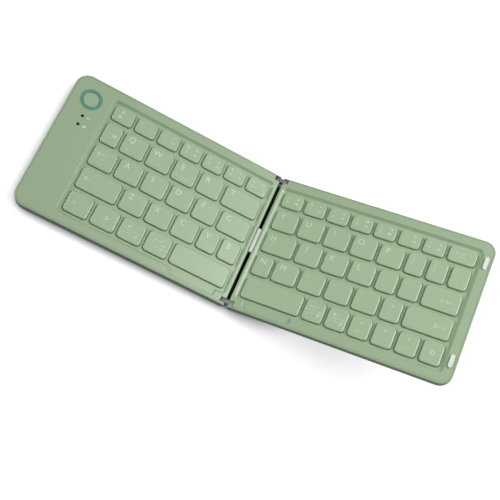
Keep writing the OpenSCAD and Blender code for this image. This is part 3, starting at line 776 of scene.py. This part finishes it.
def printed(text, height):
    bpy.ops.object.text_add(location=(0, 0, 0))
    mark = bpy.context.object
    mark.data.body = text
    mark.data.size = height / CAPITALS
    mark.data.resolution_u = 3
    mark.data.extrude = INK / 2
    mark.data.offset = -height * THINNED
    bpy.ops.object.convert(target="MESH")
    mark = bpy.context.object
    corners = [Vector(c) for c in mark.bound_box]
    middle = (corners[0] + corners[6]) / 2
    mark.location = (-middle.x, -middle.y, 0)
    bpy.ops.object.transform_apply(location=True, rotation=True, scale=True)
    return mark


# %% [markdown]
# ## Where the marks go
# Letters sit near the upper left corner of their key, and three of them have a small word below. A number
# key has its digit low and its second sign high on the left, and what it does as a function key on the
# right. For a key that carries a word, each sign is listed with its size and with its distance from the
# middle of the key, in millimetres.

# %% Places of the signs
SIGN_PLACES = {
    "escape": [("ring", 0.7, -1.3, 2.4), ("escape", 0.8, -2.2, -1.4)],
    "tab": [("tab", 1.4, 0.4, 0)],
    "lock": [("lock", 0.8, -3.6, 2.1), ("wave", 1, 0.8, 2.4), ("wave", 1.1, -1.9, -1)],
    "shift": [("shift", 0.9, -9.2, 0.4), ("wave", 0.9, -5.4, 0.3)],
    "far_shift": [("shift", 0.9, 4.9, -0.3), ("wave", 0.9, 8.7, -0.4)],
    "control": [("control", 1, -3.4, 0), ("wave", 0.7, -0.4, 0)],
    "ring": [("ring", 1, 0.4, 0)],
    "pair": [("diamond", 0.6, -2.5, 2.4), ("wave", 0.8, 1.2, 2.4), ("rule", 1, 0, 0.1),
             ("wave", 1, -1.8, -2.3), ("ring", 0.8, 3.4, -2.3)],
    "enter": [("enter", 1, 1.4, -0.2), ("wave", 0.9, 6, -0.5)],
    "back": [("back", 1, -2.6, 1.1), ("wave", 1.1, 2.8, 1.1), ("wave", 0.9, 0, -1.7)]}
for arrow in ("up", "down", "left", "right"):
    SIGN_PLACES[arrow] = [(arrow, 1, 0, 2.8), ("wave", 0.8, 0, -2.9)]
NOTES = {"Q": (0.5, -3.4), "W": (1.2, -1.3), "E": (1.6, -1.4)}
NOTE_Y = -3.9
print("keys with a sign:", len(SIGN_PLACES))

# %% Marks of one key
LETTER_H = 0.0039
LETTER_IN = (0.0052, 0.004)
DIGIT_H = 0.0021
SECOND_H = 0.0019
PAIR_IN = 0.0037
PAIR_DROP = {REAR_D: 0.0029, KEY_D: 0.0036}
PAIR_STEP = 0.0035
ICON_IN = 0.0041
ICON_SIZE = 0.75
CELL_SIZE = 0.7


def marks_of(mark, size):
    width, depth = size
    left, top = -width / 2, depth / 2
    if mark.startswith("sign:"):
        return [(sign(name, scale), (x * MM, y * MM)) for name, scale, x, y in SIGN_PLACES[mark[5:]]]
    if " " in mark:
        low, high, *icons = mark.split(" ")
        high_y = top - PAIR_DROP[depth]
        low_y = high_y - PAIR_STEP
        found = [(printed(low, DIGIT_H), (left + PAIR_IN, low_y)),
                 (printed(high, SECOND_H), (left + PAIR_IN, high_y))]
        for icon in icons:
            found.append((sign(icon, ICON_SIZE), (-left - ICON_IN, high_y)))
            found.append((sign("cell", CELL_SIZE), (-left - ICON_IN, low_y)))
        return found
    found = []
    if mark in NOTES:
        scale, x = NOTES[mark]
        found.append((sign("wave", scale), (x * MM, NOTE_Y * MM)))
    if mark:
        found.append((printed(mark, LETTER_H), (left + LETTER_IN[0], top - LETTER_IN[1])))
    return found


# %% [markdown]
# ## Setting the keys
# Keys of one size are modelled once and copied, each copy with its own mesh. A copy goes to its place in
# the half's plan. A mark is laid on the sunk middle of its key, a hair above it.

# %% Keys and their marks
caps = {}
gathered = {}
for side, rows, place in (("left", LEFT_ROWS, LEFT), ("right", RIGHT_ROWS, RIGHT)):
    for body, mark, size, middle in spread(rows, side):
        if size not in caps:
            caps[size] = keycap(*size)
        cap = caps[size].copy()
        cap.data = cap.data.copy()
        bpy.context.scene.collection.objects.link(cap)
        cap.location = middle
        inks = []
        for shape, spot in marks_of(mark, size):
            shape.location = middle + Vector((*spot, KEY_TOP - KEY_DISH + INK))
            inks.append(shape)
        gathered.setdefault(body, (place, [], []))
        gathered[body][1].append(cap)
        gathered[body][2].extend(inks)
print("key sizes:", len(caps), "bodies:", len(gathered))

# %% [markdown]
# ## Joining what moves together
# The keys of one group move together, so their caps are joined into one piece, and their marks into
# another. Both are then carried from the half's plan to the desk.


# %% Joining and seating them
def joined(parts, name):
    only(*parts)
    if len(parts) > 1:
        bpy.ops.object.join()
    piece = bpy.context.object
    piece.name = name
    return piece


for body, (place, keycaps, inks) in gathered.items():
    cap = seat(joined(keycaps, body + "_caps"), place, body, key_green)
    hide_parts(body)
    if inks:
        seat(joined(inks, body + "_marks"), place, body, legend_ink)
for pattern in caps.values():
    bpy.data.objects.remove(pattern)
print("key bodies dressed:", len(gathered))

# %% [markdown]
# ## Marks beside the lights
# Two tiny signs beside the status lights say what they show: the battery and the wireless link. The
# lights stand under the power button, so the signs are placed from its middle.

# %% Light signs
BUTTON_X = -HALF_W + 0.0138
BUTTON_Y = HALF_D - 0.0154
LIGHT_DROPS = {"cell": 0.0128, "link": 0.0192}
BESIDE = 0.0042
LIGHT_SIGN = 0.8

inks = []
for name, drop in LIGHT_DROPS.items():
    shape = sign(name, LIGHT_SIGN)
    shape.location = (BUTTON_X + BESIDE, BUTTON_Y - drop, HALF_T + INK)
    inks.append(shape)
seat(joined(inks, "light_marks"), LEFT, "left_half", legend_ink)
print("light signs:", len(inks))
